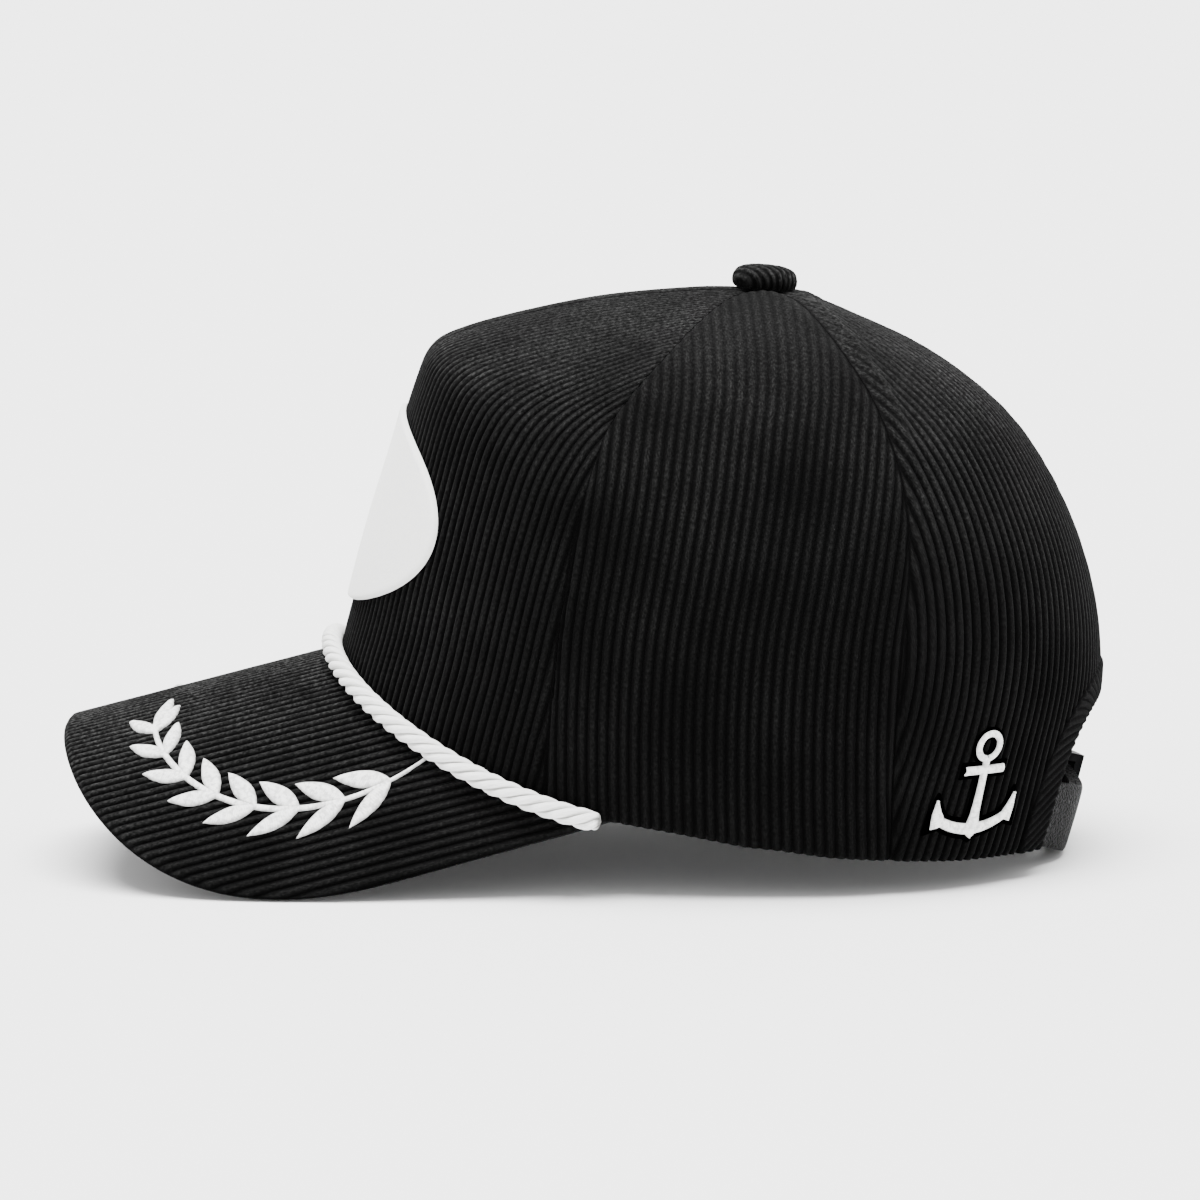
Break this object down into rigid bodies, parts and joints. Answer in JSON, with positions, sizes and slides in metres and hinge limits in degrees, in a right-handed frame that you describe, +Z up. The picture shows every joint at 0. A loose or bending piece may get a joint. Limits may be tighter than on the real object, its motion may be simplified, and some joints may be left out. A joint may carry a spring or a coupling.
{
  "type": "corduroy cap with a rope over its peak",
  "caption": "Corduroy cap with a curved peak, a white rope along its seam, an oval front patch, embroidered branches and anchor, and a strap behind.",
  "frame": {"origin": "on the surface that the cap rests on, under the middle of its box", "axes": "+Z up, -Y toward the peak, +X toward the wearer's left"},
  "size_m": [0.1638, 0.2793, 0.159],
  "materials": {
    "corduroy": "ribbed pile, soft sheen",
    "rope_cord": "twisted cotton",
    "patch_cloth": "smooth felt",
    "white_thread": "satin stitch",
    "band_cloth": "twill",
    "strap_leather": "grained, matt",
    "clasp_metal": "dark, satin"
  },
  "bodies": {
    "root": {"front_panel": "corduroy", "side_panel_left": "corduroy", "side_panel_right": "corduroy", "back_panel_left": "corduroy", "back_panel_right": "corduroy", "peak": "corduroy", "rope": "rope_cord", "button": "corduroy", "front_patch": "patch_cloth", "laurel_left": "white_thread", "laurel_right": "white_thread", "anchor": "white_thread", "sweatband": "band_cloth", "strap_left": "strap_leather", "strap_right": "strap_leather", "clasp": "clasp_metal"}
  },
  "joints": []
}
